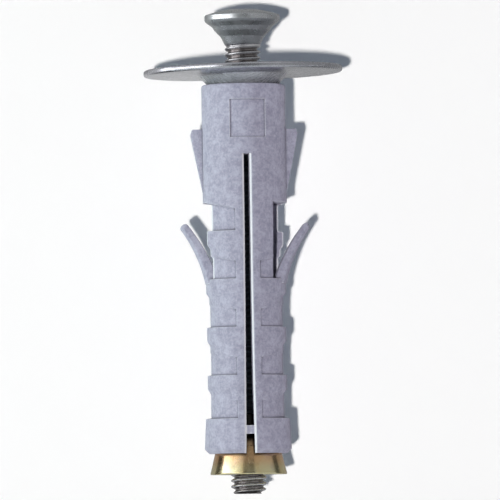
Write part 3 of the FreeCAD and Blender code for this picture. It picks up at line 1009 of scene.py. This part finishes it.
def washer_piece():
    """Dished washer, lying askew about the middle of its own plate."""
    disc = lathe("washer_disc", [
        (WASHER_HOLE, DIMPLE_LOW, 0.08),
        (DIMPLE_R + DIMPLE_LOW, DIMPLE_LOW, 0.25),
        (DIMPLE_R + WASHER_LOW, WASHER_LOW, 0.35),
        (WASHER_R, WASHER_LOW, WASHER_EDGE),
        (WASHER_R, WASHER_TOP, WASHER_EDGE),
        (DIMPLE_R - WASHER_WALL + WASHER_TOP, WASHER_TOP, 0.5),
        (WASHER_HOLE, WASHER_HOLE - DIMPLE_R + WASHER_WALL, 0.12),
        (WASHER_HOLE, DIMPLE_LOW, 0),
    ], 200, closed=True, steps=6, sharp=60)
    middle = Matrix.Translation((0, 0, (WASHER_LOW + WASHER_TOP) / 2 * MM))
    turn = Matrix.Rotation(radians(-WASHER_ASKEW), 4, "Y")
    disc.data.transform(middle @ turn @ middle.inverted())
    return disc


PITCH = 1.0
SCREW_TIP = -screw_box[LOW][Z]
HEAD_R = screw_box[HIGH][X]
HEAD_TOP = screw_box[HIGH][Z] + 0.04
HEAD_CORNER = 0.15
RIM_TOP = 11.7
RIM_LOW = 10.78
RIM_EDGE = 0.12
SHANK_TOP = 6.9
THREAD_DEPTH = 0.56
THREAD_FADE = 0.9
THREAD_GAP = 0.02
THREAD_SIDES = 48
ROWS_PER_PITCH = 12
LEAD_LENGTH = 1.1
LEAD_DEPTH = 0.45


def thread_depth(turn):
    """Depth below the crest for a place in the pitch, in turns."""
    place = abs(turn % 1.0 - 0.5) * 2
    return THREAD_DEPTH * (1 - ease(0.08, 0.9, 1 - place))


def screw_thread():
    """Thread down to the tip: it fades out below the head and tapers off at the lead."""
    length = SHANK_TOP + SCREW_TIP
    rows = int(length / PITCH * ROWS_PER_PITCH)
    loops = []
    for row in range(rows + 1):
        height = -SCREW_TIP + length * row / rows
        fade = ease(SHANK_TOP - THREAD_FADE, SHANK_TOP, height)
        lead = ease(-SCREW_TIP, -SCREW_TIP + LEAD_LENGTH, height)
        loop = []
        for i in range(THREAD_SIDES):
            angle = 2 * pi * i / THREAD_SIDES
            depth = thread_depth(height / PITCH - angle / (2 * pi))
            radius = SCREW_R - THREAD_GAP - depth * (1 - fade) - LEAD_DEPTH * (1 - lead)
            loop.append((radius * cos(angle), radius * sin(angle), height))
        loops.append(loop)
    return loops_object("screw_thread", loops, cap_first=True, cap_last=True, sharp=70)


# The head below its rim, as (radius, height, rounding).
HEAD_UNDERSIDE = [
    (HEAD_R - 0.35, RIM_LOW - 0.4, 0.15),
    (5.05, 9.75, 0.3),
    (4.55, 9.0, 0.4),
    (3.65, 8.1, 0.5),
    (3.3, 7.4, 0.4),
    (3.02, SHANK_TOP - 0.1, 0.3),
    (2.6, SHANK_TOP - 0.3, 0),
]
CROWN_STEPS = 12


def screw_head():
    """Raised countersunk head: a shallow spherical crown over a rim and a flared underside."""
    crown_reach = HEAD_R - HEAD_CORNER
    crown_rise = HEAD_TOP - RIM_TOP
    crown = (crown_reach ** 2 + crown_rise ** 2) / (2 * crown_rise)
    corners = []
    for i in range(CROWN_STEPS + 1):
        radius = crown_reach * i / CROWN_STEPS
        fall = crown - sqrt(crown ** 2 - radius ** 2)
        corners.append((radius, HEAD_TOP - fall, 0))
    corners += [(HEAD_R, RIM_TOP - RIM_EDGE, RIM_EDGE), (HEAD_R, RIM_LOW, RIM_EDGE)]
    head = lathe("screw_head", corners + HEAD_UNDERSIDE, 160, steps=5, sharp=60)
    cut_recess(head)
    return head


RECESS_SPAN = 3.1
RECESS_HALF = 0.72
RECESS_DEPTH = 3.4
RECESS_LEVELS = (0.0, 0.35, 0.8, 1.0)
CUTTER_RISE = 0.3
WING_SHORTENS = 0.62
WING_THINS = 0.25
WEB_SHARE = 1.3


def cut_recess(head):
    """Cross recess: four tapered wings that run down to a blunt point."""
    loops = []
    for share in RECESS_LEVELS:
        height = HEAD_TOP + CUTTER_RISE - (RECESS_DEPTH + CUTTER_RISE) * share
        span = RECESS_SPAN * (1 - WING_SHORTENS * share)
        half = RECESS_HALF * (1 - WING_THINS * share)
        web = half * WEB_SHARE
        loop = []
        for quarter in range(4):
            turn = radians(90 * quarter)
            for x, y in ((span, -half), (span, half), (web, web)):
                loop.append((x * cos(turn) - y * sin(turn),
                             x * sin(turn) + y * cos(turn), height))
        loops.append(loop)
    cutter = loops_object("recess_cutter", loops, cap_first=True, cap_last=True)
    boolean = head.modifiers.new("recess", "BOOLEAN")
    boolean.operation = "DIFFERENCE"
    boolean.solver = "EXACT"
    boolean.object = cutter
    bpy.context.view_layer.update()
    ready = head.evaluated_get(bpy.context.evaluated_depsgraph_get())
    mesh = bpy.data.meshes.new_from_object(ready)
    head.modifiers.clear()
    head.data = mesh
    bpy.data.objects.remove(cutter)
    smooth(mesh, 30)


# ---------------------------------- assembly
def place_sleeve():
    left = sleeve_half()
    right = half_turned(left, "sleeve_half_right")
    for half, leg in ((left, "leg_left"), (right, "leg_right")):
        finish_piece(half, NYLON, None, leg)
        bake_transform(half)
    finish_piece(collar_ring(), NYLON, "sleeve", "sleeve_collar")
    fin_left = fin()
    for piece in (fin_left, half_turned(fin_left, "fin_right")):
        finish_piece(piece, NYLON, "sleeve")
    webs = (tie_web("tie_left_front", -1), tie_web("tie_left_rear", 1))
    for web, other in zip(webs, ("tie_right_rear", "tie_right_front")):
        finish_piece(half_turned(web, other), NYLON, "leg_right")
        finish_piece(web, NYLON, "leg_left")


def place_barbs():
    left = barb()
    right = half_turned(left, "barb_blade_right")
    for blade, leg, body in ((left, "leg_left", "barb_left"), (right, "leg_right", "barb_right")):
        finish_piece(blade, NYLON, None, body)
        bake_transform(blade)


def place_metal():
    finish_piece(nut_cone(), YELLOW, "cone_nut", "cone_nut")
    for name, side in (("nut_rib_front", -1), ("nut_rib_rear", 1)):
        finish_piece(nut_rib(name, side), YELLOW, "cone_nut")
    finish_piece(washer_piece(), WASHER_ZINC, "washer", "washer")
    finish_piece(screw_head(), SCREW_ZINC, "screw", "screw")
    finish_piece(screw_thread(), THREAD_ZINC, "screw")


# ------------------------ cards and backdrop
AIM_Z = (CAD_BOX[LOW][Z] + CAD_BOX[HIGH][Z]) / 2 / MM + 0.17
CAMERA_BEARING = -3.5
FLOOR_Z = -SCREW_TIP - 8.0
BACKDROP_TOP_Y = 18.5
BACKDROP_LOW_Y = 14.0
BACKDROP_HALF = 260.0
WIDE = 600.0
BLACK_CARD = (0.02, 0.02, 0.02)
TIP_CARD_HALF = 6.5
TIP_CARD_RISE = 4.0
SKY_CARD_Z = 250.0

# Ends of the cards that stand round the anchor: (bearing in degrees, distance).
FRONT_LEFT = (-22, 560)
FRONT_RIGHT = (17, 560)
SIDE_LEFT = (-91, 300)
SIDE_RIGHT = (83, 302)
BACK_LEFT = (-115, 30)
BACK_RIGHT = (103, 57)
GLINT_END = (-34, 390)
REAR_Y = 12.8
CARD_LOW = -260
CARD_HIGH = 420
REAR_LOW = -75
REAR_HIGH = 300
PLATE_LEVEL = -10

# Each card's ends, lowest and highest place, and tone.
CARDS = {
    "camera_low": (FRONT_LEFT, FRONT_RIGHT, CARD_LOW, 0, 0.10),
    "camera_level": (FRONT_LEFT, FRONT_RIGHT, 0, 110, 0.24),
    "camera_high": (FRONT_LEFT, FRONT_RIGHT, 110, CARD_HIGH, 0.06),
    "left_panel": (SIDE_LEFT, FRONT_LEFT, CARD_LOW, CARD_HIGH, 0.72),
    "right_panel": (FRONT_RIGHT, SIDE_RIGHT, CARD_LOW, CARD_HIGH, 0.40),
    "rim_glint": ((-91, 297), GLINT_END, -15, 55, 4.0),
    "rim_side_glint": ((-100, 66), (-91, 299), PLATE_LEVEL, 45, 4.0),
    "nut_glint": ((-73, 275), GLINT_END, 70, 190, 0.85),
    "left_side": (BACK_LEFT, SIDE_LEFT, PLATE_LEVEL, CARD_HIGH, 0.60),
    "right_side": (SIDE_RIGHT, BACK_RIGHT, PLATE_LEVEL, CARD_HIGH, 0.30),
    "left_edge": ((-115, 29), (-91, 60), REAR_LOW, PLATE_LEVEL, 0.04),
    "right_edge": ((83, 60), (103, 55), REAR_LOW, PLATE_LEVEL, 0.04),
    "left_rear": ((-180, REAR_Y), BACK_LEFT, REAR_LOW, REAR_HIGH, 0.34),
    "right_rear": (BACK_RIGHT, (180, REAR_Y), REAR_LOW, REAR_HIGH, 0.30),
}

# Strips behind the washer's underside: left end, right end and tone.
WASHER_CARDS = {"left": (-34, -6.5, 0.66), "middle": (-6.5, 8, 0.30), "right": (8, 34, 0.42)}
WASHER_CARD_LOW = -6
WASHER_CARD_GAP = 0.2


def seen_rays(tree):
    """1 for rays that look straight at a thing, at its reflection or through glass."""
    path = new_node(tree, "LightPath")
    seen = path.outputs["Is Camera Ray"]
    for other in ("Is Glossy Ray", "Is Transmission Ray"):
        seen = maths(tree, "MAXIMUM", seen, path.outputs[other])
    return seen


def card_material(name, colour, glow):
    """Seen and lit on the card's front, clear from behind."""
    material = bpy.data.materials.new(name)
    material.use_nodes = True
    tree = material.node_tree
    tree.nodes.clear()
    diffuse = new_node(tree, "BsdfDiffuse", {"Color": colour})
    emit = new_node(tree, "Emission", {"Color": glow, "Strength": seen_rays(tree)})
    both = new_node(tree, "AddShader", {0: diffuse.outputs[0], 1: emit.outputs[0]})
    clear = new_node(tree, "BsdfTransparent")
    behind = new_node(tree, "NewGeometry").outputs["Backfacing"]
    mix = new_node(tree, "MixShader", {0: behind, 1: both.outputs[0], 2: clear.outputs[0]})
    new_node(tree, "OutputMaterial", {"Surface": mix.outputs[0]})
    return material


def stage_plane(name, corners, colour, glow):
    mesh = bpy.data.meshes.new(name)
    mesh.from_pydata([Vector(c) * MM for c in corners], [], [(0, 1, 2, 3)])
    mesh.materials.append(card_material(name, colour, glow))
    obj = linked(name, mesh)
    return obj


def level_plane(name, half, height, colour, glow):
    """Square plane about the anchor's axis, facing up."""
    return stage_plane(name, [(-half, -half, height), (half, -half, height),
                              (half, half, height), (-half, half, height)], colour, glow)


def upright_card(name, start, end, low, high, tone):
    """Card that only reflections see, upright between two (x, y) ends."""
    (ax, ay), (bx, by) = start, end
    card = stage_plane(name, [(ax, ay, low), (ax, ay, high), (bx, by, high), (bx, by, low)],
                       BLACK_CARD, (tone, tone, tone))
    only_reflected(card)


def only_reflected(card):
    for ray in ("camera", "diffuse", "shadow", "transmission", "volume_scatter"):
        setattr(card, "visible_" + ray, False)


def around(bearing, reach):
    turn = radians(bearing)
    return reach * sin(turn), -reach * cos(turn)


def set_level_cards():
    """Cards that only reflections see: a dark one under the tip, a pale one above."""
    only_reflected(level_plane("tip_card", TIP_CARD_HALF, FLOOR_Z + TIP_CARD_RISE, BLACK_CARD,
                               (0.04, 0.04, 0.04)))
    sky = level_plane("sky_card", WIDE, SKY_CARD_Z, BLACK_CARD, (0.6, 0.6, 0.6))
    sky.data.flip_normals()
    only_reflected(sky)


def set_upright_cards():
    for name, (start, end, low, high, tone) in CARDS.items():
        upright_card(name, around(*start), around(*end), low, high, tone)
    card_y = REAR_Y - WASHER_CARD_GAP
    card_top = WASHER_LOW - WASHER_CARD_GAP
    for name, (start, end, tone) in WASHER_CARDS.items():
        upright_card("washer_" + name, (start, card_y), (end, card_y), card_top,
                     WASHER_CARD_LOW, tone)


def set_ground():
    """Leaning backdrop close behind the anchor, and a floor below its tip."""
    lean = (BACKDROP_TOP_Y - BACKDROP_LOW_Y) / -FLOOR_Z
    high_y = BACKDROP_TOP_Y + lean * WIDE
    backdrop = stage_plane("backdrop", [
        (-BACKDROP_HALF, BACKDROP_LOW_Y, FLOOR_Z), (BACKDROP_HALF, BACKDROP_LOW_Y, FLOOR_Z),
        (BACKDROP_HALF, high_y, WIDE), (-BACKDROP_HALF, high_y, WIDE)],
        (0.96, 0.94, 0.897), (0.034, 0.046, 0.071))
    backdrop.visible_diffuse = False
    backdrop.visible_shadow = False
    floor = level_plane("floor", WIDE, FLOOR_Z, (0.86, 0.87, 0.9), (0.45, 0.45, 0.45))
    floor.visible_shadow = False
    return backdrop, floor


# ------------------------------------- lamps
STRIP_REACH = 430.0
STRIP_WIDTH = 60.0
STRIP_HEIGHT = 420.0


def hidden_lamp(data, name):
    """Lamp that lights the pieces but isn't seen, straight on or as a reflection."""
    obj = linked(name, data)
    obj.visible_camera = False
    obj.visible_glossy = False
    return obj


def strip_lamp(name, bearing, level, colour):
    """Upright strip light; level is the brightness it gives a white card facing it."""
    data = bpy.data.lights.new(name, "AREA")
    data.shape = "RECTANGLE"
    data.size = STRIP_WIDTH * MM
    data.size_y = STRIP_HEIGHT * MM
    data.energy = level * (pi * STRIP_REACH * MM) ** 2
    data.color = colour
    obj = hidden_lamp(data, name)
    obj.location = Vector((*around(bearing, STRIP_REACH), AIM_Z)) * MM
    obj.rotation_euler = (pi / 2, 0, radians(bearing))
    return obj


def sun_lamp(name, bearing, rise, level, blur, colour):
    data = bpy.data.lights.new(name, "SUN")
    data.energy = level * pi
    data.angle = radians(blur)
    data.color = colour
    obj = hidden_lamp(data, name)
    obj.rotation_euler = (pi / 2 - radians(rise), 0, radians(bearing))


def spare(lamps, *cards):
    """Keeps lamps off the given cards, so that the key's shadow stays deep."""
    others = bpy.data.collections.new("spared_cards")
    for number, card in enumerate(cards):
        others.objects.link(card)
        others.collection_objects[number].light_linking.link_state = "EXCLUDE"
    for lamp in lamps:
        lamp.light_linking.receiver_collection = others


def set_lamps(backdrop, floor):
    """Key sun from the camera's side, strips at both sides and two faint ones behind."""
    sun_lamp("key", CAMERA_BEARING - 4.9, rise=-6.8, level=0.86, blur=1.8,
             colour=(1.0, 0.99, 1.0))
    left = strip_lamp("left_strip", -74, 1.02, (0.84, 1.0, 0.93))
    right = strip_lamp("right_strip", 60, 0.08, (1.0, 0.80, 0.98))
    spare((left, right), backdrop)
    right_rear = strip_lamp("right_rear_strip", 124, 0.34, (1.0, 0.92, 1.0))
    rear = strip_lamp("rear_strip", 186, 0.55, (0.96, 1.0, 1.0))
    spare((right_rear, rear), backdrop, floor)


WORLD_STRENGTH = 0.10
WORLD_PALE = (0.86, 0.87, 0.88)
WORLD_SKY = [(0.0, (0.5, 0.6, 0.7)), (0.5, (0.6, 0.75, 0.95)), (1.0, (0.9, 0.95, 1.0))]


def set_world():
    """Faint bluish sky to light the pieces; straight on and in the metal it shows as pale."""
    world = bpy.data.worlds.new("studio")
    bpy.context.scene.world = world
    world.use_nodes = True
    tree = world.node_tree
    height = new_node(tree, "MapRange", {
        "Value": along_axis(tree, new_node(tree, "TexCoord").outputs["Generated"], "Z"),
        "From Min": -1.0,
    }).outputs["Result"]
    light = tree.nodes["Background"]
    feed(tree, light.inputs["Color"], ramp(tree, height, WORLD_SKY))
    feed(tree, light.inputs["Strength"], WORLD_STRENGTH)
    pale = new_node(tree, "Background", {"Color": WORLD_PALE})
    mix = new_node(tree, "MixShader", {0: seen_rays(tree), 1: light.outputs[0],
                                       2: pale.outputs[0]})
    feed(tree, tree.nodes["World Output"].inputs["Surface"], mix.outputs[0])


# ------------------------------------ camera
CAMERA_DISTANCE = 1200.0
CAMERA_Z = -78.0
CAMERA_ROLL = 0.0148
FIELD_WIDTH = 83.33
SENSOR = 36.0
AIM_RIGHT = 0.75


def set_camera():
    """Long lens near the front, low and slightly rolled, as the photograph was taken."""
    data = bpy.data.cameras.new("camera")
    data.sensor_width = SENSOR
    data.lens = SENSOR * CAMERA_DISTANCE / FIELD_WIDTH
    data.clip_start = 0.01
    data.clip_end = 10.0
    camera = linked("camera", data)
    turn = radians(CAMERA_BEARING)
    level = Vector((cos(turn), sin(turn), 0))
    out = Vector((sin(turn), -cos(turn), 0))
    aim = level * AIM_RIGHT + Vector((0, 0, AIM_Z))
    place = level * AIM_RIGHT + out * CAMERA_DISTANCE + Vector((0, 0, CAMERA_Z))
    back = (place - aim).normalized()
    above = back.cross(level)
    side = level * cos(CAMERA_ROLL) - above * sin(CAMERA_ROLL)
    up = above * cos(CAMERA_ROLL) + level * sin(CAMERA_ROLL)
    facing = Matrix((side, up, back)).transposed().to_4x4()
    camera.matrix_world = Matrix.Translation(place * MM) @ facing
    bpy.context.scene.camera = camera


place_sleeve()
place_barbs()
place_metal()
backdrop, floor = set_ground()
set_level_cards()
set_lamps(backdrop, floor)
set_upright_cards()
set_world()
set_camera()
bpy.context.scene.view_settings.view_transform = "Standard"
